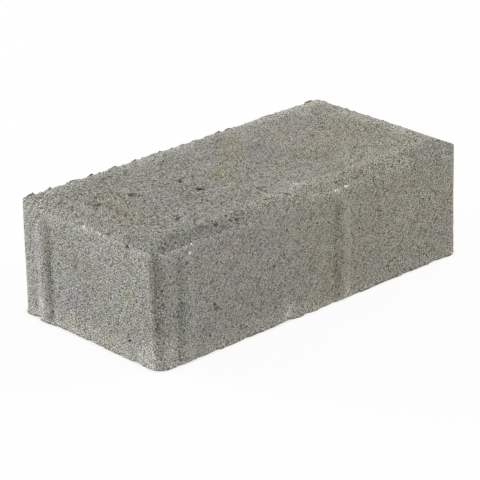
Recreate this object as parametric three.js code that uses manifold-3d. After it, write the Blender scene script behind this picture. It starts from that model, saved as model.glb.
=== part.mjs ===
// An oblong concrete paving stone, twice as long as it is wide, dry-pressed in one mould.
// Millimetres, +Z up. The long sides run along X, the stone lies on its bedding face at Z = 0,
// and the origin is the middle of that face.
import * as THREE from 'three';
import { ConvexGeometry } from 'three/addons/geometries/ConvexGeometry.js';
import { mergeVertices } from 'three/addons/utils/BufferGeometryUtils.js';
import Module from 'manifold-3d';

// The block, measured between its flat side faces.
const blockLength = 198.5;
const blockWidth = 98.5;
const blockHeight = 61;
const cornerRadius = 4.5;

// The chamfer round the wearing face: how far it reaches in from a side, and how far it falls.
const chamferRun = 7.5;
const chamferFall = 3.5;

// The spacer lugs: rounded ribs that hold the next stone off by the width of a joint.
const lugStandOff = 1.5;
const lugWidth = 10.6;
const lugBelowChamfer = 3.5;
const lugTaperLength = 5;

// Each whole module of a side has one lug, this far from the corner where the module starts.
const lugModule = 100;
const lugFromCorner = 17.5;

// How far a piece that gets cut or joined runs on past the surface that it meets.
const overrun = 1;

const arcSegments = 12;
const lugSegments = 96;

const wasm = await Module();
wasm.setup();

// A closed three.js geometry as a solid that can be joined and cut.
function solidOf(geometry) {
  const bare = geometry.clone();
  bare.deleteAttribute('normal');
  bare.deleteAttribute('uv');
  const welded = mergeVertices(bare, 1e-4);
  return new wasm.Manifold(new wasm.Mesh({
    numProp: 3,
    vertProperties: Float32Array.from(welded.getAttribute('position').array),
    triVerts: Uint32Array.from(welded.getIndex().array),
  }));
}

// A solid as a three.js geometry.
function geometryOf(solid) {
  const mesh = solid.getMesh();
  const geometry = new THREE.BufferGeometry();
  geometry.setAttribute('position', new THREE.BufferAttribute(mesh.vertProperties, 3));
  geometry.setIndex(new THREE.BufferAttribute(mesh.triVerts, 1));
  return geometry;
}

// The stone's plan: a rectangle with its four corners rounded off.
function planShape() {
  const x = blockLength / 2 - cornerRadius;
  const y = blockWidth / 2 - cornerRadius;
  const quarter = Math.PI / 2;
  const plan = new THREE.Shape();
  plan.absarc(x, -y, cornerRadius, -quarter, 0, false);
  plan.absarc(x, y, cornerRadius, 0, quarter, false);
  plan.absarc(-x, y, cornerRadius, quarter, 2 * quarter, false);
  plan.absarc(-x, -y, cornerRadius, 2 * quarter, 3 * quarter, false);
  plan.closePath();
  return plan;
}

// The four corners of a rectangle that lies `outset` outside the side faces, at height z.
function rectangleAt(outset, z) {
  const x = blockLength / 2 + outset;
  const y = blockWidth / 2 + outset;
  return [[x, y], [-x, y], [-x, -y], [x, -y]].map(([px, py]) => new THREE.Vector3(px, py, z));
}

// The wearing face and the four sloping planes of the chamfer, which meet in mitres. The planes
// run on outside the side faces, so that they cut the rounded corners without a step.
function chamferEnvelope() {
  return new ConvexGeometry([
    ...rectangleAt(chamferRun, -overrun),
    ...rectangleAt(chamferRun, blockHeight - 2 * chamferFall),
    ...rectangleAt(-chamferRun, blockHeight),
  ]);
}

function blockSolid() {
  const prism = new THREE.ExtrudeGeometry(planShape(), {
    depth: blockHeight + overrun,
    bevelEnabled: false,
    curveSegments: arcSegments,
  });
  return solidOf(prism).intersect(solidOf(chamferEnvelope()));
}

// One lug on a side face that lies in the plane X = 0, with the block behind it. It is the
// outer slice of a round spindle, whose cone end runs out into the face at a point.
function lugSolid() {
  const radius = lugStandOff / 2 + lugWidth ** 2 / (8 * lugStandOff);
  const tip = blockHeight - chamferFall - lugBelowChamfer;
  const coneSlope = lugStandOff / lugTaperLength;
  const spindle = new THREE.LatheGeometry([
    new THREE.Vector2(0, 0),
    new THREE.Vector2(radius, 0),
    new THREE.Vector2(radius, tip - lugTaperLength),
    new THREE.Vector2(radius - lugStandOff - coneSlope * overrun, tip + overrun),
    new THREE.Vector2(0, tip + overrun),
  ], lugSegments);
  spindle.rotateX(Math.PI / 2);
  spindle.translate(lugStandOff - radius, 0, 0);
  const slice = new THREE.BoxGeometry(
    2 * (lugStandOff + overrun),
    lugWidth + 2 * overrun,
    2 * blockHeight,
  );
  slice.translate(lugStandOff, 0, 0);
  return solidOf(spindle).intersect(solidOf(slice));
}

// The lugs go round the stone one way, so that those of a neighbour fall between them.
function lugsRound(block) {
  const lug = lugSolid();
  let stone = block;
  for (let side = 0; side < 4; side += 1) {
    const isEnd = side % 2 === 0;
    const reach = (isEnd ? blockLength : blockWidth) / 2;
    const sideLength = isEnd ? blockWidth : blockLength;
    const count = Math.round(sideLength / lugModule);
    for (let index = 0; index < count; index += 1) {
      const along = lugFromCorner + index * lugModule - sideLength / 2;
      stone = stone.add(lug.translate([reach, along, 0]).rotate([0, 0, side * 90]));
    }
  }
  return stone;
}

const concrete = new THREE.MeshStandardMaterial({
  color: '#8f8d84',
  roughness: 0.95,
  metalness: 0,
});

const pavingStone = new THREE.Mesh(geometryOf(lugsRound(blockSolid())), concrete);
pavingStone.name = 'paving_stone';

const group = new THREE.Group();
group.add(pavingStone);

export default group;
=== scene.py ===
"""A concrete paving stone: the looks of the one cast piece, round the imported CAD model."""
import math

import bmesh
import bpy
from mathutils import Matrix, Vector, kdtree, noise


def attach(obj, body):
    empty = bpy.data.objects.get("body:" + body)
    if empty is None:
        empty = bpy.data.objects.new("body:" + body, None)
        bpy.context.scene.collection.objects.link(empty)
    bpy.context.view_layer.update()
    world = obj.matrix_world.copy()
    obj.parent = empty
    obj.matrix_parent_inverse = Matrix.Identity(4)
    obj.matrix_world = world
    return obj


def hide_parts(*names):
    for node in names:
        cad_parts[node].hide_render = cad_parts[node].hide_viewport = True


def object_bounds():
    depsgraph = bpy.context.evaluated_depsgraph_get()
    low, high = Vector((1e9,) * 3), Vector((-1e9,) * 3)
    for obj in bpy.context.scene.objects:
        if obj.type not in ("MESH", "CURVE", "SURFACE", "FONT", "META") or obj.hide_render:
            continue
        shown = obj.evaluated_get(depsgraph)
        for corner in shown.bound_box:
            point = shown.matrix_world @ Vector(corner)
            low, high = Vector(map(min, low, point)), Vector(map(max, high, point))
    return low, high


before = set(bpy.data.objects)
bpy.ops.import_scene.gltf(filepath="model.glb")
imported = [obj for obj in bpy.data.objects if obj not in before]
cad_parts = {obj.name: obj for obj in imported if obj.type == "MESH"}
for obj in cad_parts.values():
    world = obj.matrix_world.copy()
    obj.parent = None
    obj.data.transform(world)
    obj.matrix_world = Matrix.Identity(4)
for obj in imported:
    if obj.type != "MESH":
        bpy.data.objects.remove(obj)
cad_low, cad_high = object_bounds()
mm = 0.001


# ---------------------------------------------------------------------------------------------
# The stone. One block of earth-damp concrete, pressed and shaken in a steel mould and pushed out
# at once. Its skin is packed sand held by a little cement paste, so it is open and gritty, and
# its arrises crumble where the mix was not quite compacted.
# ---------------------------------------------------------------------------------------------

# The block behind its lugs, as the CAD model has it. Places on it are measured from the bottom
# corner where its left end meets its front.
lug_stand_off = 1.5 * mm
corner = cad_low + Vector((lug_stand_off, lug_stand_off, 0))
length, width, height = cad_high - cad_low - 2 * Vector((lug_stand_off, lug_stand_off, 0))
chamfer_run = 7.5 * mm
chamfer_fall = 3.5 * mm

# The skin is cut this fine, then thinned where it is flat, to stay under the triangles allowed.
skin_spacing = 0.65 * mm
skin_triangles = 190000

# Between these slopes of its normal the skin passes from upright to level, and within this much
# of the chamfer's inner edge from chamfer to face.
upright_slope = 0.25
level_slope = 0.85
chamfer_blend = 0.5 * mm

# Broad swells left by the press, a quarter as deep on the sides, and the soft roll of the
# wearing face into its chamfer.
swell_width = 34 * mm
swell_depth = 0.5 * mm
side_swell = 0.25
roll_reach = 2.0 * mm
roll_depth = 0.10 * mm

# Sand grains of the skin, which the mould wall has smoothed on the sides. A grain's radius is in
# units of its size.
grain_size = 1.6 * mm
grain_depth = 0.12 * mm
grain_radius = 0.8
side_smoothing = 0.55

# The gaps and voids that the paste did not fill between the grains. The gaps waver, and each
# stretch of them runs on for a few millimetres.
gap_spacing = 2.6 * mm
gap_depth = 0.6 * mm
gap_waver = Vector((0.4, 0.4, 0.4)) * mm
gap_waver_size = 1.5 * mm
gap_stretch = 3.6 * mm
void_size = 1.7 * mm
void_depth = 0.7 * mm

# Fine upright marks of the mould wall on the sides, drawn as the block was pushed out. Each is
# this many times as long as it is wide.
drag_width = 2.2 * mm
drag_depth = 0.03 * mm
drag_length = 9

# Along an arris the outermost grains are lost, but for the odd ones that still stand. More of
# them are lost at the foot.
crumb_size = 1.7 * mm
crumb_reach = 1.7 * mm
crumb_depth = 0.5 * mm
foot_crumbs = 0.3
arris_crumbs = 0.2

# The foot is spread a little by the block's own weight before the mix has set, and wet mix has
# crept out under the mould wall, so that its edge is a sharp, ragged lip. The skin's own relief
# dies out towards it.
flare = 0.35 * mm
flare_reach = 0.9 * mm
relief_from_foot = 2.5 * mm
lip = 0.5 * mm
lip_height = 1.5 * mm
lip_drop = 0.4 * mm
long_rags = 6 * mm
short_rags = 2.2 * mm

# Where the lip stands out or is broken off most:
# (along, across, half its length, how far out) in mm.
lip_marks = (
    (2.0, 0, 2.0, -0.4),
    (10.0, 0, 3.0, -0.4),
    (21.5, 0, 2.5, -0.6),
    (35.0, 0, 1.2, -0.7),
    (38.5, 0, 1.3, 0.5),
    (54.0, 0, 2.0, -0.5),
    (77.0, 0, 1.2, -0.4),
    (81.0, 0, 2.6, -1.2),
    (89.0, 0, 2.0, 0.4),
    (97.0, 0, 2.5, 0.5),
    (118.0, 0, 4.0, -0.4),
    (132.0, 0, 2.5, 0.4),
    (162.0, 0, 2.5, -0.6),
    (181.0, 0, 2.5, -0.6),
    (192.0, 0, 2.5, 0.5),
    (0, 2.0, 2.0, -0.6),
    (0, 15.5, 2.5, -0.9),
    (0, 42.0, 3.0, -0.5),
    (0, 63.0, 4.0, -0.4),
    (0, 48.0, 2.5, -0.8),
    (0, 75.0, 1.5, 0.5),
    (0, 87.0, 2.0, -0.9),
)

# The lugs on the long sides are worn flush at their foot.
worn_height = 3.0 * mm

# The right end leans out towards its foot, and most of all over its lower half, where the block
# sagged a little before it set.
lean = 0.35 * mm
lean_heights = (42 * mm, 60 * mm)
sag = 0.75 * mm
sag_heights = (2 * mm, 38 * mm)

# The ragged burr where the mix was squeezed up between the tamper's rim and the mould wall. Along
# the near side most of it has broken off, and this share of its height is left.
burr_size = 1.9 * mm
burr_reach = 1.1 * mm
burr_height = 0.6 * mm
burr_stump = 0.35

# Where it stands up most along the far side: (along, half its length, height) in mm.
burr_clumps = (
    (6.8, 2.6, 1.2),
    (18.5, 1.4, 1.0),
    (23.0, 2.0, 0.5),
    (31.0, 3.5, 0.4),
    (43.5, 2.0, 0.5),
    (58.8, 1.7, 1.0),
    (72.0, 1.2, 0.5),
    (88.0, 1.3, 0.7),
    (127.0, 2.4, 0.7),
    (134.0, 2.6, 0.4),
    (160.0, 4.0, 0.5),
    (191.0, 2.6, 1.0),
)

# The larger pits, and a pebble that stands proud:
# (along, across, up, half its width, depth) in mm.
pits = (
    (64.2, 55.7, 61, 1.8, 1.4),
    (62.6, 42.0, 61, 1.6, 1.4),
    (65.2, 40.8, 61, 1.6, 1.4),
    (36.3, 59.2, 61, 1.6, 1.2),
    (18.5, 59.8, 61, 1.3, 1.0),
    (15.3, 60.2, 61, 1.3, 1.0),
    (45.0, 84.2, 61, 1.5, 1.1),
    (50.6, 35.5, 61, 1.4, 0.9),
    (31.5, 21.0, 61, 1.3, 0.9),
    (152.4, 55.6, 61, 1.1, 0.9),
    (149.8, 82.5, 61, 1.0, 0.9),
    (10.3, 3.6, 60, 1.4, 1.4),
    (7.2, 2.4, 59, 1.2, 1.2),
    (32.4, 7.1, 60.8, 0.9, 1.1),
    (34.0, 6.1, 60.3, 0.7, 0.9),
    (40.5, 5.2, 59.9, 1.0, 1.2),
    (38.9, 9.2, 61, 0.9, 1.0),
    (52.4, 4.0, 59.4, 0.9, 1.1),
    (20.5, 77.0, 61, 1.1, 1.0),
    (3.9, 27.0, 61, 1.0, 0.9),
    (34.6, 0.0, 23, 1.0, 1.0),
    (31.8, 0.0, 24.5, 1.7, -0.5),
    (35.4, 0.0, 20.6, 0.8, 0.9),
    (17.0, -1.5, 50, 1.0, 0.9),
    (0.0, 20.3, 56.5, 1.0, 1.0),
    (0.0, 20.5, 9.5, 0.9, 0.6),
)

# Where lime has bloomed or paste has smeared pale, and two spots of painted light: (along, across, up,
# reach in mm, strength).
pale_spots_and_painted_light = (
    (0, 0, 2, 19, 0.55),
    (14, -1, 6, 9, 0.35),
    (99.5, 13.5, 61, 2.4, 0.9),
    (82, 0, 7, 7, 0.35),
    (82, 0, 4, 3.4, 0.7),
    (80.5, 0, 1.5, 2.6, 0.5),
    (119.7, -1.5, 2, 3.5, 0.7),
    # This one and the next are painted light on the lower flanks of the lugs.
    (112, -0.5, 9, 3.5, 0.3),
    (-1.4, 83.5, 10, 5, 0.35),
    (97.0, 0, 57.9, 1.2, 1.0),
    (31.8, 0, 24.5, 1.6, 0.25),
    (88, 29, 61, 1.0, 1.0),
    (102, 25, 61, 0.9, 0.9),
    (127, 70, 61, 2.0, 0.6),
    (188, 0, 56.5, 1.2, 0.8),
)

# Where a neighbour has knocked a chip off the arris, down to fresh paste, whose pale colour is partly
# a painted highlight: (along, across, up, reach in mm, strength).
knock_depth = 0.25 * mm
knocks_and_highlights = (
    (0, 4.2, 57.4, 0.9, 1.8),
    (3.0, 0.3, 57.6, 0.9, 2.4),
    (16.9, 0, 57.5, 0.9, 2.6),
    (18.3, 0, 57.5, 0.9, 2.8),
    (21.6, 0, 57.5, 1.0, 3.4),
    (20.4, -0.2, 53.2, 0.9, 3.4),
    (37.5, 0, 57.5, 0.8, 1.0),
    (109.6, 0, 57.5, 0.8, 1.2),
    (111.4, 0, 57.5, 0.8, 1.8),
    (113.2, 0, 57.5, 0.9, 2.4),
    (120.6, 0.5, 57.7, 0.9, 2.4),
    (121.9, 0.4, 57.7, 1.0, 3.0),
    (123.2, 0.2, 57.6, 0.8, 1.3),
    (0.2, 50.6, 57.6, 0.9, 2.0),
    (0.2, 42.0, 57.6, 1.1, 1.6),
    (0.2, 39.6, 57.6, 1.2, 2.0),
    (0.1, 36.6, 57.5, 1.0, 1.4),
)

# Where the arris is rubbed down to fresh paste in a ragged line, partly painted as a highlight: on the
# front over the first lug and beside the second, and on the left end: (middle, reach of its full
# strength, whole reach in mm, strength).
rubbed_highlight_front = ((17.5, 12, 15, 0.24), (114, 3, 8, 0.6))
rubbed_highlight_end = (39, 9, 14, 0.36)
rub_size = 2.5 * mm
rubbed_highlight_strength = 2.4

# How much paler the skin is: behind the chamfer and on the sides below it from dust and rubbing, and
# at their foot partly from dust and partly as painted bounce light from the floor. The left end is
# paler than the front below its arris and at its foot, and the front's right half is less pale at its
# foot.
pale_behind_chamfer = 0.28
pale_below_arris = 0.22
foot_dust_and_bounce = 0.22
lip_dust_and_bounce = 0.14
# The worn feet of the lugs are paler, partly wear and partly painted light against the shade of their
# taper.
worn_lug_pallor_and_light = 0.3
paler_end_arris = 0.10
end_foot_dust_and_bounce = 0.12
less_pale_right_foot = 0.14

# The near chamfer has a darker strip, which darkens further as it rises. The left end's chamfer is
# pale at its lower edge, and more so in its far part.
dark_chamfer_strip = 0.18
darker_rise = 0.14
pale_end_chamfer = 0.12
paler_far_part = 0.10

# How much painted shade darkens the burr, and how much dirt and painted shade darken a void, and a pit
# at most.
burr_painted_shade = 0.6
void_dirt_and_shade = 0.4
most_dirt_and_shade = 2.0

# How strongly sand and joints stand out in its colour, as a power of their tone: on the sides, and
# how much more on the left end and on the wearing face, and less again on the chamfer.
harsh_side = 0.81
harsher_end = 0.02
harsher_face = 0.26
softer_chamfer = 0.12

# Strokes of a different mix, and two of painted shade: from (along, across, up) to the same, the reach
# to either side in mm, and how much paler, redder and yellower.
redder_by_one = Vector((0.02, -0.02, 0))
yellower_by_one = Vector((0.01, 0.01, -0.05))
mix_strokes_and_shade = (
    ((54, 78, 61), (74, 90, 61), 9, 0.09, 0.1, 0.3),
    ((84, 80, 61), (92, 68, 61), 7, -0.10, 0.2, -1.2),
    ((62, 85, 61), (108, 86, 61), 6, 0.13, 0.4, 0.0),
    ((112, 80, 61), (156, 87, 61), 6, 0.04, 0.0, -1.3),
    ((162, 82, 61), (178, 82, 61), 5, 0.12, 0.0, 0.0),
    ((3, 84, 61), (9, 86, 61), 6, 0.14, -0.8, 0.0),
    ((8, 14, 61), (34, 22, 61), 9, 0.10, 0.3, -0.2),
    ((80, 44, 61), (124, 80, 61), 7, -0.04, 0.9, 1.7),
    ((92, 32, 61), (138, 78, 61), 6, -0.07, 0.4, -1.3),
    ((128, 18, 61), (106, 74, 61), 15, -0.12, 0.0, 0.0),
    ((120, 62, 61), (126, 46, 61), 8, -0.10, -0.7, -1.0),
    ((129, 42, 61), (137, 32, 61), 7, -0.12, 0.0, 0.6),
    ((142, 33, 61), (148, 32, 61), 4, -0.12, 1.5, 0.0),
    ((145, 62, 61), (167, 77, 61), 5, 0.06, 1.4, -0.4),
    ((152, 84, 61), (176, 86, 61), 7, 0.12, -0.8, -1.1),
    ((84, 13, 61), (110, 17, 61), 7, 0.12, -0.4, -0.5),
    ((110, 25, 61), (112, 24, 61), 8, 0.04, 0.0, -0.6),
    ((160, 38, 61), (170, 45, 61), 18, -0.07, 0.0, 0.5),
    ((189, 28, 61), (189, 66, 61), 8, 0.16, -0.5, 0.0),
    ((172, 8, 61), (196, 8, 61), 9, 0.0, 0.0, -0.7),
    ((170, 92, 61), (196, 92, 58), 9, 0.25, -0.2, 0.3),
    ((16, 59, 61), (18, 60, 61), 4, -0.2, 0.0, -1.0),
    ((22, 55, 61), (25, 62, 61), 5, 0.0, -0.8, 1.4),
    ((14, 38, 61), (19, 44, 61), 6, 0.0, 1.0, 0.8),
    ((28, 37, 61), (54, 36, 61), 6, -0.05, 0.9, 0.2),
    ((28, 28, 61), (36, 20, 61), 7, 0.0, 0.2, -1.0),
    ((50, 23, 61), (90, 33, 61), 6, 0.0, -0.6, 0.2),
    ((60, 54, 61), (65, 42, 61), 4, -0.15, 0.4, -1.0),
    ((9, 22, 61), (9, 34, 61), 3, 0.10, 0.0, -0.2),
    ((12, 3, 59), (68, 3, 59), 6, 0.0, 0.2, -0.8),
    ((94, 4, 60), (116, 4, 60), 8, 0.0, -0.5, 0.6),
    ((52, 0, 48), (78, 0, 47), 7, 0.0, 0.9, 0.1),
    ((76, 0, 37), (116, 0, 38), 8, 0.0, 0.2, 1.0),
    ((64, 0, 50), (68, 0, 40), 5, 0.0, -0.3, -0.8),
    ((90, 0, 22), (101, 0, 14), 6, 0.0, -0.2, -1.0),
    ((30, 0, 15), (54, 0, 13), 8, 0.0, 0.2, -0.9),
    ((4, 0, 35), (6, 0, 25), 5, 0.0, 1.2, 0.6),
    ((105, 0, 10), (112, 0, 5), 5, 0.0, 1.0, 0.8),
    ((125, 0, 25), (132, 0, 14), 5, 0.0, 1.0, 0.4),
    ((40, 0, 50), (52, 0, 44), 5, 0.0, 0.8, 0.6),
    ((166, 0, 9), (192, 0, 12), 8, 0.0, -0.2, -0.8),
    ((0, 60, 53), (0, 71, 36), 6, 0.0, -0.3, 1.0),
    ((0, 30, 58), (0, 43, 48), 5, 0.12, -0.2, -1.2),
    ((0, 28, 27), (0, 28, 22), 6, 0.0, -1.2, -0.3),
    ((0, 48, 26), (0, 68, 46), 14, -0.12, 0.0, -0.3),
    ((0, 26, 14), (0, 76, 30), 14, 0.0, 0.0, -0.5),
    ((0, 92, 14), (0, 92, 52), 12, 0.08, -0.2, -0.9),
    ((0, 60, 24), (0, 78, 8), 8, 0.03, 0.0, -1.2),
    # These two are painted shade on the left end beside the near corner.
    ((0.4, 4.0, 56), (0.4, 4.0, 40), 1.8, -0.40, 0.0, 0.2),
    ((0.4, 3.6, 40), (0.4, 3.6, 16), 1.8, -0.24, 0.2, 0.1),
    ((2, 2, 55), (4, 0, 34), 6, -0.06, 0.0, 0.3),
    ((170, 3, 60), (194, 3, 59), 7, -0.25, 0.0, 0.0),
)


def smoothstep(low, high, value):
    t = min(1.0, max(0.0, (value - low) / (high - low)))
    return t * t * (3 - 2 * t)


def fade(low, high, value):
    """From 1 up to the low value to 0 past the high one."""
    return 1 - smoothstep(low, high, value)


def seeded(place, size, seed):
    """The place in units of a size, shifted so that each pattern differs."""
    return place / size + Vector((13.7, 5.3, 9.1)) * seed


def lumps(place, size, seed):
    """Smooth noise from about -1 to 1, with lumps of about the size given."""
    return noise.noise(seeded(place, size, seed)) * 1.6


def rough_lumps(place, size, seed, finer_seed):
    """The same lumps with others of half their size on them."""
    return lumps(place, size, seed) + 0.5 * lumps(place, size / 2, finer_seed)


def openness(place, up, on_chamfer):
    """How open the skin is here, from 0, packed smooth, to 1, honeycombed."""
    left = fade(60 * mm, 130 * mm, place.x)
    wearing_face = (0.20 + 0.16 * left) * (1 - 0.5 * on_chamfer)
    bedding_face = 0.5
    side = 0.04
    level = max(up, 0) * wearing_face + max(-up, 0) * bedding_face + (1 - abs(up)) * side
    return level + 0.08 * lumps(place, 15 * mm, 21)


def burr_at(place, from_arris):
    """The burr's height here: whole along the far side, broken off along the near one."""
    whole = smoothstep(0.1 * width, 0.5 * width, place.y)
    whole *= 1 - 0.2 * smoothstep(0.3 * length, 0.9 * length, place.x)
    squeezed = rough_lumps(place, burr_size, 14, 15) - 0.5 + 0.5 * whole
    burr = (burr_stump + (1 - burr_stump) * whole) * smoothstep(0.0, 0.5, squeezed)
    return burr * fade(0.2 * burr_reach, burr_reach, from_arris)


def rubbed_highlight(place, from_arris):
    """How far the arris is rubbed down to fresh paste here, partly a painted highlight."""
    on_front = max(
        strength * fade(full * mm, whole * mm, abs(place.x - middle * mm))
        for middle, full, whole, strength in rubbed_highlight_front
    ) * (place.y < 1 * mm)
    middle, full, whole, strength = rubbed_highlight_end
    on_end = strength * fade(full * mm, whole * mm, abs(place.y - middle * mm)) * (place.x < 1 * mm)
    broken = smoothstep(0.0, 0.5, lumps(place, rub_size, 11) + 0.1)
    return rubbed_highlight_strength * (on_front + on_end) * broken * fade(0.3 * mm, 0.9 * mm, from_arris)


def dust_and_painted_light(paleness_and_painted_light, place, up, inward, on_chamfer):
    """The paleness here, from dust and rubbing, with painted bounce light at the foot, and darker on a
    strip of the near chamfer.
    """
    upright = 1 - abs(up)
    on_end = place.x < 3 * mm

    # The face behind the chamfer, except at the corner where the front meets the left end.
    behind_chamfer = fade(10 * mm, 16 * mm, inward) * max(0.0, up) * (1 - 0.32 * on_chamfer)
    past_corner = smoothstep(52 * mm, 72 * mm, place.x + 1.5 * place.y)
    past_corner *= smoothstep(-12 * mm, 22 * mm, place.x)
    behind_chamfer *= past_corner
    paleness_and_painted_light += pale_behind_chamfer * behind_chamfer * (1 + 0.5 * lumps(place, 8 * mm, 18))

    # The sides below the chamfer, and at their foot, where the paleness is partly dust and partly
    # painted bounce light from the floor.
    below_arris = pale_below_arris + paler_end_arris * on_end
    paleness_and_painted_light += below_arris * upright * fade(0, 4.5 * mm, height - chamfer_fall - place.z)
    at_foot = foot_dust_and_bounce + end_foot_dust_and_bounce * on_end
    at_foot -= less_pale_right_foot * smoothstep(115 * mm, 140 * mm, place.x)
    paleness_and_painted_light += at_foot * upright * fade(2 * mm, 14 * mm, place.z)
    paleness_and_painted_light += lip_dust_and_bounce * upright * fade(0, 3 * mm, place.z)

    # The darker strip on the left of the near chamfer, and the left end's chamfer.
    rise = min(1.0, inward / chamfer_run)
    strip = on_chamfer * fade(50 * mm, 95 * mm, place.x + 3 * place.y)
    paleness_and_painted_light -= (dark_chamfer_strip + darker_rise * rise) * strip
    farther = paler_far_part * smoothstep(30 * mm, 45 * mm, place.y)
    end_chamfer = pale_end_chamfer + farther - (pale_end_chamfer + 2 * farther) * rise
    return paleness_and_painted_light + end_chamfer * on_chamfer * (place.x < chamfer_run)


def lip_at(place):
    """How far the ragged lip of the foot stands out here. It is a little shorter on the left end."""
    ragged = 0.7 * lumps(place, long_rags, 20) + 0.5 * lumps(place, short_rags, 22)
    out = (lip - 0.1 * mm * (place.x < 1 * mm)) * (1 + ragged)
    for along, across, half_length, mark in lip_marks:
        from_mark = math.hypot(place.x - along * mm, place.y - across * mm) / (half_length * mm)
        out += mark * mm * fade(0.5, 1.5, from_mark)
    return out


bm = bmesh.new()
bm.from_mesh(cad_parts["paving_stone"].data)
bmesh.ops.remove_doubles(bm, verts=bm.verts, dist=0.001 * mm)
form_mesh = bpy.data.meshes.new("stone_form")
bm.to_mesh(form_mesh)
bm.free()
form = bpy.data.objects.new("stone_form", form_mesh)
bpy.context.scene.collection.objects.link(form)
remesh = form.modifiers.new("skin", "REMESH")
remesh.mode = "VOXEL"
remesh.voxel_size = skin_spacing
depsgraph = bpy.context.evaluated_depsgraph_get()
skin_mesh = bpy.data.meshes.new_from_object(form.evaluated_get(depsgraph))
bpy.data.objects.remove(form)

bm = bmesh.new()
bm.from_mesh(skin_mesh)
bm.normal_update()
hollow_layer = bm.verts.layers.float.new("hollow")
open_layer = bm.verts.layers.float.new("open")
paleness_and_light_layer = bm.verts.layers.float.new("paleness_and_painted_light")
harsh_layer = bm.verts.layers.float.new("harsh")
tinge_layer = bm.verts.layers.float_vector.new("tinge")
for vertex in bm.verts:
    place = vertex.co - corner
    level = smoothstep(upright_slope, level_slope, abs(vertex.normal.z))
    up = math.copysign(level, vertex.normal.z)
    upright = 1 - abs(up)
    inward = max(0.0, min(place.x, length - place.x, place.y, width - place.y))
    on_chamfer = max(0.0, up) * fade(chamfer_run - chamfer_blend, chamfer_run + chamfer_blend, inward)
    from_roll = math.hypot(inward - chamfer_run, place.z - height)
    from_arris = math.hypot(inward, place.z - height + chamfer_fall)
    from_foot = math.hypot(inward, place.z)
    open_here = openness(place, up, on_chamfer)

    # The press and the mould wall.
    depth = swell_depth * (0.5 + 0.5 * lumps(place, swell_width, 1))
    depth *= side_swell + (1 - side_swell) * max(0.0, up)
    depth += roll_depth * max(0.0, 1 - from_roll / roll_reach) ** 2
    spaced, _ = noise.voronoi(seeded(place, grain_size, 2))
    depth += grain_depth * min(1.0, spaced[0] / grain_radius) ** 2 * (1 - side_smoothing * upright)
    drawn = Vector((place.x, place.y, place.z / drag_length))
    depth += upright * drag_depth * (1 + lumps(drawn, drag_width, 3))

    # Gaps and voids, more of them and deeper ones where the skin is open.
    wavering = place + gap_waver * lumps(place, gap_waver_size, 8)
    apart, _ = noise.voronoi(seeded(wavering, gap_spacing, 4))
    gap = fade(0.04, 0.24, apart[1] - apart[0])
    gap *= smoothstep(0.55 - 0.7 * open_here, 0.85 - 0.7 * open_here, lumps(place, gap_stretch, 9))
    void = smoothstep(0.0, 0.4, rough_lumps(place, void_size, 5, 6) - 1.0 + 0.75 * open_here)
    depth += max(gap_depth * gap, void_depth * void) * (0.5 + 0.5 * open_here)

    # The crumbled arrises and the spread foot.
    depth *= smoothstep(0.3 * mm, relief_from_foot, from_foot)
    crumbled = max(
        foot_crumbs * fade(0.3 * crumb_reach, crumb_reach, from_foot),
        arris_crumbs * fade(0.3 * crumb_reach, crumb_reach, from_arris),
        arris_crumbs * fade(0.3 * crumb_reach, crumb_reach, from_roll),
    )
    standing = smoothstep(-0.1, 0.35, rough_lumps(place, crumb_size, 7, 10))
    depth += crumb_depth * crumbled * (1 - standing)
    depth -= flare * fade(0.2 * mm, flare_reach, from_foot)
    vertex.co -= vertex.normal * depth

    # The lean of the right end.
    beside = Vector((vertex.normal.x, vertex.normal.y, 0))
    to_right = smoothstep(0.3, 0.9, beside.x / max(0.3, beside.length)) * (place.x > 0.9 * length)
    vertex.co.x += to_right * lean * fade(*lean_heights, place.z)
    vertex.co.x += to_right * sag * fade(*sag_heights, place.z)

    # The burr, the worn feet of the lugs, and the lip of the foot.
    burr = burr_at(place, from_arris)
    at_lip = fade(0.2 * lip_height, lip_height, place.z) * (beside.length > 0.3)
    vertex.co.z += burr_height * burr - lip_drop * at_lip
    worn = fade(0.4 * mm, worn_height, place.z)
    past = min(0.0, place.y) + max(0.0, place.y - width)
    vertex.co.y -= past * worn
    if at_lip > 0:
        vertex.co += beside.normalized() * lip_at(place) * at_lip * (1 - 0.7 * to_right)

    # Its colour. The burr along the far side is darkened with painted shade.
    paleness_and_painted_light = dust_and_painted_light(rubbed_highlight(place, from_arris), place, up, inward, on_chamfer)
    paleness_and_painted_light -= burr_painted_shade * burr * (place.y > 95 * mm)
    # Paler on the worn feet of the lugs, partly wear and partly painted light against the shade of
    # their taper.
    paleness_and_painted_light += worn_lug_pallor_and_light * worn * smoothstep(0.2 * mm, 0.8 * mm, abs(past))
    harsh = harsh_side + harsher_end * upright * (place.x < 3 * mm)
    harsh += max(0.0, up) * (harsher_face - softer_chamfer * on_chamfer)
    # Dirt and painted shade in the gaps and voids.
    vertex[hollow_layer] = void_dirt_and_shade * max(gap, void)
    vertex[open_layer] = open_here
    vertex[paleness_and_light_layer] = paleness_and_painted_light
    vertex[harsh_layer] = harsh * (1 + 0.25 * lumps(place, 5 * mm, 17))

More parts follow.
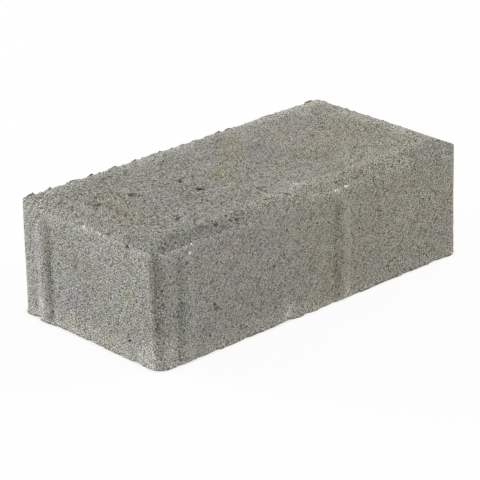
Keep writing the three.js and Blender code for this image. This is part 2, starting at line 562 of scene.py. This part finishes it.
# The marks that have a place of their own, each on the skin that lies within its reach.
skin_tree = kdtree.KDTree(len(bm.verts))
for index, vertex in enumerate(bm.verts):
    skin_tree.insert(vertex.co - corner, index)
skin_tree.balance()
bm.verts.ensure_lookup_table()
bm.normal_update()
for *place, half_width, pit_depth in pits:
    for found, index, distance in skin_tree.find_range(Vector(place) * mm, 2 * half_width * mm):
        vertex = bm.verts[index]
        ragged = distance + 0.45 * half_width * mm * lumps(found, half_width * mm, 12)
        pit = fade(0.35 * half_width * mm, 1.15 * half_width * mm, ragged)
        vertex.co -= vertex.normal * pit * pit_depth * mm
        # Dirt and painted shade in the pit, but none on the pebble.
        dirt_and_shade = min(most_dirt_and_shade, 3 * pit) * (pit_depth > 0)
        vertex[hollow_layer] = max(vertex[hollow_layer], dirt_and_shade)
for *place, reach, strength in pale_spots_and_painted_light:
    for found, index, distance in skin_tree.find_range(Vector(place) * mm, 1.4 * reach * mm):
        vertex = bm.verts[index]
        ragged = distance + 0.3 * reach * mm * lumps(found, 0.6 * reach * mm, 13)
        vertex[paleness_and_light_layer] += strength * fade(0.1 * reach * mm, reach * mm, ragged)
for *place, reach, strength in knocks_and_highlights:
    for found, index, distance in skin_tree.find_range(Vector(place) * mm, 1.6 * reach * mm):
        vertex = bm.verts[index]
        share = fade(0.25 * reach * mm, 1.1 * reach * mm, distance)
        vertex.co -= vertex.normal * knock_depth * share
        # Pale paste and painted highlight.
        vertex[paleness_and_light_layer] += strength * share
for along, half_length, rise in burr_clumps:
    middle = Vector((along * mm, width, height - chamfer_fall))
    for found, index, _ in skin_tree.find_range(middle, 1.3 * half_length * mm):
        from_middle = abs(found.x - middle.x) / (half_length * mm)
        spread = fade(0.55, 1.25, from_middle + 0.25 * lumps(found, 1.2 * mm, 19))
        from_edge = math.hypot(found.y - middle.y, 0.6 * (found.z - middle.z))
        share = spread * fade(0.5 * mm, 1.3 * mm, from_edge)
        vertex = bm.verts[index]
        vertex.co.z += rise * mm * share
        # Painted shade on the clump.
        vertex[paleness_and_light_layer] -= burr_painted_shade * share
for start, end, reach, paler, redder, yellower in mix_strokes_and_shade:
    start = Vector(start) * mm
    stroke = Vector(end) * mm - start
    reach *= mm
    tinge = redder * redder_by_one + yellower * yellower_by_one
    for found, index, _ in skin_tree.find_range(start + stroke / 2, stroke.length / 2 + 1.7 * reach):
        along = min(1.0, max(0.0, (found - start).dot(stroke) / stroke.length_squared))
        away = (found - start - along * stroke).length / reach
        share = fade(0.1, 1.3, away + 0.5 * lumps(found, 0.8 * reach, 16))
        vertex = bm.verts[index]
        vertex[paleness_and_light_layer] += share * paler
        vertex[tinge_layer] += share * tinge
bm.to_mesh(skin_mesh)
bm.free()

skin_mesh.name = "paving_stone_skin"
stone = bpy.data.objects.new("paving_stone_skin", skin_mesh)
bpy.context.scene.collection.objects.link(stone)
thin = stone.modifiers.new("thin", "DECIMATE")
thin.ratio = skin_triangles / (2 * len(skin_mesh.polygons))
depsgraph = bpy.context.evaluated_depsgraph_get()
stone.data = bpy.data.meshes.new_from_object(stone.evaluated_get(depsgraph))
stone.modifiers.clear()

# The skin keeps within the CAD model's box, so that it rests on the ground and its lugs still fit
# the laying module.
skin_mesh = stone.data
for vertex in skin_mesh.vertices:
    vertex.co = [min(max(vertex.co[axis], cad_low[axis]), cad_high[axis]) for axis in range(3)]
for polygon in skin_mesh.polygons:
    polygon.use_smooth = True


def linear(hex_colour):
    """An sRGB hex value as the linear colour that a shader takes."""
    channels = [int(hex_colour[i:i + 2], 16) / 255 for i in (1, 3, 5)]
    return [c / 12.92 if c <= 0.04045 else ((c + 0.055) / 1.055) ** 2.4 for c in channels] + [1.0]


def add(tree, kind, settings=(), links=()):
    """A shader node with its settings, and its inputs linked or set."""
    node = tree.nodes.new(kind)
    for name, value in dict(settings).items():
        setattr(node, name, value)
    for name, value in dict(links).items():
        if isinstance(value, bpy.types.NodeSocket):
            tree.links.new(value, node.inputs[name])
        else:
            node.inputs[name].default_value = value
    return node


# Dry-pressed grey concrete, as it comes from the mould: dull and dusty, in patches of a slightly
# different grey, with sand grains that are paler or darker than the paste.
concrete = bpy.data.materials.new("dry_pressed_concrete")
concrete.use_nodes = True
tree = concrete.node_tree
tree.nodes.clear()
place = add(tree, "ShaderNodeTexCoord").outputs["Object"]

# The mix drifts from a neutral grey on the left to a faintly olive one on the right. The border
# between the two runs aslant and is drawn out into streaks, which shift it by this much.
streak_width = 16 * mm
streak_shift = 140 * mm
streak_place = add(tree, "ShaderNodeMapping", {}, {
    "Vector": place, "Rotation": (0, 0, math.radians(-48)), "Scale": (0.35, 1.0, 1.0),
}).outputs["Vector"]
streaks = add(tree, "ShaderNodeTexNoise", {}, {
    "Vector": streak_place, "Scale": 1 / streak_width, "Detail": 1.0,
})
aslant = add(tree, "ShaderNodeVectorMath", {"operation": "DOT_PRODUCT"}, {
    0: place, 1: (1, -0.45, -0.95),
})
streaked = add(tree, "ShaderNodeMath", {"operation": "MULTIPLY_ADD"}, {
    0: streaks.outputs["Fac"], 1: streak_shift, 2: aslant.outputs["Value"],
})
drift = add(tree, "ShaderNodeMapRange", {"interpolation_type": "SMOOTHSTEP"}, {
    "Value": streaked.outputs["Value"], "From Min": -10 * mm, "From Max": 80 * mm,
})
ground = add(tree, "ShaderNodeMix", {"data_type": "RGBA"}, {
    0: drift.outputs["Result"], 6: linear("#9d9c93"), 7: linear("#9d9a8d"),
})

# Small patches of it are redder, greener, yellower or bluer, each by chance.
blotch_width = 11 * mm
blotches = add(tree, "ShaderNodeTexNoise", {}, {
    "Vector": streak_place, "Scale": 1 / blotch_width, "Detail": 2.0, "Roughness": 0.62,
})
tints = add(tree, "ShaderNodeVectorMath", {"operation": "MULTIPLY_ADD"}, {
    0: blotches.outputs["Color"], 1: (0.15, 0.14, 0.27), 2: (0.925, 0.93, 0.865),
})
tinge = add(tree, "ShaderNodeAttribute", {"attribute_name": "tinge"})
tinged = add(tree, "ShaderNodeVectorMath", {"operation": "ADD"}, {
    0: tints.outputs["Vector"], 1: tinge.outputs["Vector"],
})
shade = add(tree, "ShaderNodeVectorMath", {"operation": "MULTIPLY"}, {
    0: ground.outputs[2], 1: tinged.outputs["Vector"],
}).outputs["Vector"]

# Dust, lime bloom and painted bounce light up to 1, fresh paste and painted highlights from there to
# 2, and a darker mix and painted shade below 0.
paleness_and_painted_light = add(tree, "ShaderNodeAttribute", {"attribute_name": "paleness_and_painted_light"}).outputs["Fac"]
shade = add(tree, "ShaderNodeMix", {"data_type": "RGBA"}, {
    0: paleness_and_painted_light, 6: shade, 7: linear("#c5c3ba"),
}).outputs[2]
fresh_paste_and_highlight = add(tree, "ShaderNodeMapRange", {}, {"Value": paleness_and_painted_light, "From Min": 1.0, "From Max": 2.0})
shade = add(tree, "ShaderNodeMix", {"data_type": "RGBA"}, {
    0: fresh_paste_and_highlight.outputs["Result"], 6: shade, 7: linear("#f6f4ee"),
}).outputs[2]
below_zero_darkening = add(tree, "ShaderNodeMapRange", {}, {
    "Value": paleness_and_painted_light, "From Min": -1.0, "From Max": 0.0, "To Min": 0.5, "To Max": 1.0,
})

# Sand, paler and darker than the paste, with dark joints between the coarser grains, whose darkness is
# partly painted shade of a relief too fine for the mesh. The pattern is turned, so that no face lies
# along it, and the joints are bent, so that no grain is straight.
# Sand that is finer than this is left out, because it is too fine to show.
sand_width = 0.32 * mm
joint_spacing = 1.08 * mm
bend_width = 0.8 * mm
bend = 1.1 * mm
askew = add(tree, "ShaderNodeMapping", {}, {
    "Vector": place, "Rotation": (0.5, 0.7, 0.4),
}).outputs["Vector"]
sand = add(tree, "ShaderNodeTexNoise", {}, {"Vector": askew, "Scale": 1 / sand_width, "Detail": 0.0})
sand_tone = add(tree, "ShaderNodeMapRange", {}, {
    "Value": sand.outputs["Fac"], "From Min": 0.2, "From Max": 0.69, "To Min": 0.45, "To Max": 1.36,
})
unevenness = add(tree, "ShaderNodeTexNoise", {}, {
    "Vector": askew, "Scale": 1 / bend_width, "Detail": 0.0,
})
bent = add(tree, "ShaderNodeVectorMath", {"operation": "MULTIPLY_ADD"}, {
    0: unevenness.outputs["Color"], 1: (bend, bend, bend), 2: askew,
}).outputs["Vector"]
joints = add(tree, "ShaderNodeTexVoronoi", {"feature": "DISTANCE_TO_EDGE"}, {
    "Vector": bent, "Scale": 1 / joint_spacing, "Randomness": 0.75,
})
joint_tone = add(tree, "ShaderNodeMapRange", {}, {
    "Value": joints.outputs["Distance"], "From Max": 0.145, "To Min": 0.13, "To Max": 1.41,
})

# Crevices round the coarsest grains, here and there, and more of them where the skin is open.
coarse_width = 2.3 * mm
crevice_stretch = 1.6 * mm
more_crevices = 0.30
openness_here = add(tree, "ShaderNodeAttribute", {"attribute_name": "open"}).outputs["Fac"]
coarse = add(tree, "ShaderNodeTexVoronoi", {"feature": "DISTANCE_TO_EDGE"}, {
    "Vector": askew, "Scale": 1 / coarse_width,
})
line = add(tree, "ShaderNodeMapRange", {"interpolation_type": "SMOOTHSTEP"}, {
    "Value": coarse.outputs["Distance"], "From Min": 0.10, "From Max": 0.04,
})
looseness = add(tree, "ShaderNodeTexNoise", {}, {
    "Vector": askew, "Scale": 1 / crevice_stretch, "Detail": 1.0, "Roughness": 0.5,
})
loose_edge = add(tree, "ShaderNodeMath", {"operation": "MULTIPLY_ADD"}, {
    0: openness_here, 1: more_crevices, 2: looseness.outputs["Fac"],
})
loose = add(tree, "ShaderNodeMapRange", {"interpolation_type": "SMOOTHSTEP"}, {
    "Value": loose_edge.outputs["Value"], "From Min": 0.66, "From Max": 0.71,
})
crevice = add(tree, "ShaderNodeMath", {"operation": "MULTIPLY"}, {
    0: line.outputs["Result"], 1: loose.outputs["Result"],
}).outputs["Value"]

# Dirt and painted shade in the voids, darkest in the pits, and painted shade in the crevices.
hollow = add(tree, "ShaderNodeAttribute", {"attribute_name": "hollow"})
dirt_and_shade = add(tree, "ShaderNodeMapRange", {}, {
    "Value": hollow.outputs["Fac"], "From Max": most_dirt_and_shade, "To Min": 1.0, "To Max": 0.4,
})
crevice_tone = add(tree, "ShaderNodeMapRange", {}, {"Value": crevice, "To Min": 1.0, "To Max": 0.32})

# How strongly sand and joints stand out.
grain = add(tree, "ShaderNodeMath", {"operation": "MULTIPLY"}, {
    0: sand_tone.outputs["Result"], 1: joint_tone.outputs["Result"],
})
harsh = add(tree, "ShaderNodeAttribute", {"attribute_name": "harsh"})
tone = add(tree, "ShaderNodeMath", {"operation": "POWER"}, {
    0: grain.outputs["Value"], 1: harsh.outputs["Fac"],
}).outputs["Value"]

# Pinholes, where a grain of sand has dropped out, painted as dark dots of shade, and more of them
# where the skin is open.
pinhole_spacing = 0.8 * mm
more_pinholes = 0.08
dropped = add(tree, "ShaderNodeTexNoise", {}, {
    "Vector": askew, "Scale": 1 / pinhole_spacing, "Detail": 0.0,
})
margin = add(tree, "ShaderNodeMath", {"operation": "MULTIPLY_ADD"}, {
    0: openness_here, 1: -more_pinholes, 2: dropped.outputs["Fac"],
})
pinhole_shade = add(tree, "ShaderNodeMapRange", {"interpolation_type": "SMOOTHSTEP"}, {
    "Value": margin.outputs["Value"], "From Min": 0.22, "From Max": 0.28, "To Min": 0.2, "To Max": 1.0,
})
for part in (pinhole_shade, crevice_tone, dirt_and_shade, below_zero_darkening):
    tone = add(tree, "ShaderNodeMath", {"operation": "MULTIPLY"}, {
        0: tone, 1: part.outputs["Result"],
    }).outputs["Value"]

# The dark grains are a little warmer than the pale ones.
warmed = add(tree, "ShaderNodeVectorMath", {"operation": "MULTIPLY_ADD"}, {
    0: tone, 1: (1.0, 1.0, 1.09), 2: (0.0, 0.0, -0.09),
})
toned = add(tree, "ShaderNodeVectorMath", {"operation": "MULTIPLY"}, {
    0: shade, 1: warmed.outputs["Vector"],
})

# The grit that the mesh is too coarse for: the joints lie lower than the grains, and the crevices
# lower still.
grit_height = 0.2 * mm
crevice_drop = 1.5
sunk = add(tree, "ShaderNodeMath", {"operation": "MULTIPLY_ADD"}, {
    0: crevice, 1: -crevice_drop, 2: joint_tone.outputs["Result"],
})
bump = add(tree, "ShaderNodeBump", {}, {
    "Height": sunk.outputs["Value"], "Distance": grit_height,
})
shader = add(tree, "ShaderNodeBsdfPrincipled", {}, {
    "Base Color": toned.outputs["Vector"], "Roughness": 0.95, "Specular IOR Level": 0.25,
    "Normal": bump.outputs["Normal"],
})
add(tree, "ShaderNodeOutputMaterial", {}, {"Surface": shader.outputs["BSDF"]})

skin_mesh.materials.clear()
skin_mesh.materials.append(concrete)
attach(stone, "root")
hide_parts("paving_stone")


# ---------------------------------------------------------------------------------------------
# The stage: a plain white floor that keeps the stone's shadow.
# ---------------------------------------------------------------------------------------------

floor_mesh = bpy.data.meshes.new("floor")
bm = bmesh.new()
bmesh.ops.create_grid(bm, x_segments=1, y_segments=1, size=4.0)
bm.to_mesh(floor_mesh)
bm.free()
floor = bpy.data.objects.new("floor", floor_mesh)
bpy.context.scene.collection.objects.link(floor)

# Matt white paper. The camera sees most of it as plain white, which keeps its shadow light, but
# less of it so within a few millimetres of the foot, where hardly any light gets in.
contact_reach = 2.5 * mm
plain_white = 0.93
paper = bpy.data.materials.new("white_paper")
paper.use_nodes = True
tree = paper.node_tree
tree.nodes.clear()
seen = add(tree, "ShaderNodeLightPath")
near = add(tree, "ShaderNodeAmbientOcclusion", {"samples": 8}, {"Distance": contact_reach})
lightness = add(tree, "ShaderNodeMath", {"operation": "MULTIPLY"}, {
    0: near.outputs["AO"], 1: plain_white,
})
share = add(tree, "ShaderNodeMath", {"operation": "MULTIPLY"}, {
    0: seen.outputs["Is Camera Ray"], 1: lightness.outputs["Value"],
})
white = add(tree, "ShaderNodeEmission", {}, {"Color": linear("#ffffff"), "Strength": 1.0})
matt = add(tree, "ShaderNodeBsdfDiffuse", {}, {"Color": linear("#e8e8e8")})
both = add(tree, "ShaderNodeMixShader", {}, {"Fac": share.outputs["Value"]})
tree.links.new(matt.outputs["BSDF"], both.inputs[1])
tree.links.new(white.outputs["Emission"], both.inputs[2])
add(tree, "ShaderNodeOutputMaterial", {}, {"Surface": both.outputs["Shader"]})
floor_mesh.materials.append(paper)


# ---------------------------------------------------------------------------------------------
# The light: a soft box behind the stone on the left, a weaker one on its right, and a white room.
# ---------------------------------------------------------------------------------------------

def soft_box(name, azimuth, elevation, distance, size, level):
    """A square lamp that lights the stone squarely on at a level where 1 shows colours as they are.
    The azimuth is in degrees from the stone's right end, counter-clockwise from above."""
    turn = math.radians(azimuth)
    rise = math.radians(elevation)
    direction = Vector((
        math.cos(turn) * math.cos(rise),
        math.sin(turn) * math.cos(rise),
        math.sin(rise),
    ))
    lamp = bpy.data.lights.new(name, "AREA")
    lamp.size = size
    lamp.energy = level * math.pi ** 2 * distance ** 2
    holder = bpy.data.objects.new(name, lamp)
    holder.location = direction * distance
    holder.rotation_mode = "QUATERNION"
    holder.rotation_quaternion = direction.to_track_quat("Z", "Y")
    bpy.context.scene.collection.objects.link(holder)


soft_box("key", 120, 15, 1.8, 0.8, 1.24)
soft_box("fill", 330, 28, 1.8, 1.0, 0.66)

# The room is white to the camera, and lights the stone at this level.
room_light = 0.54
world = bpy.data.worlds.new("white_room")
bpy.context.scene.world = world
world.use_nodes = True
tree = world.node_tree
tree.nodes.clear()
seen = add(tree, "ShaderNodeLightPath")
level = add(tree, "ShaderNodeMapRange", {}, {
    "Value": seen.outputs["Is Camera Ray"], "To Min": room_light, "To Max": 1.0,
})
room = add(tree, "ShaderNodeBackground", {}, {
    "Color": linear("#ffffff"), "Strength": level.outputs["Result"],
})
add(tree, "ShaderNodeOutputWorld", {}, {"Surface": room.outputs["Background"]})
bpy.context.scene.view_settings.view_transform = "Standard"


# ---------------------------------------------------------------------------------------------
# The camera: a long lens, above the near left corner.
# ---------------------------------------------------------------------------------------------

camera_azimuth = math.radians(-42.63)
camera_elevation = math.radians(22.65)
camera_roll = math.radians(-1.06)
camera_distance = 1236.2 * mm
camera_right = -1.98 * mm
camera_up = -8.13 * mm
focal_length_px = 2538.2
picture_width_px = 480

back = Vector((
    math.sin(camera_azimuth) * math.cos(camera_elevation),
    -math.cos(camera_azimuth) * math.cos(camera_elevation),
    math.sin(camera_elevation),
))
level_right = Vector((math.cos(camera_azimuth), math.sin(camera_azimuth), 0))
level_up = back.cross(level_right)
right = math.cos(camera_roll) * level_right + math.sin(camera_roll) * level_up
up = math.cos(camera_roll) * level_up - math.sin(camera_roll) * level_right
middle = (cad_low + cad_high) / 2
lens = bpy.data.cameras.new("camera")
lens.sensor_width = 36
lens.lens = focal_length_px / picture_width_px * lens.sensor_width
camera = bpy.data.objects.new("camera", lens)
camera.matrix_world = Matrix.Translation(
    middle + back * camera_distance + right * camera_right + up * camera_up
) @ Matrix((right, up, back)).transposed().to_4x4()
bpy.context.scene.collection.objects.link(camera)
bpy.context.scene.camera = camera
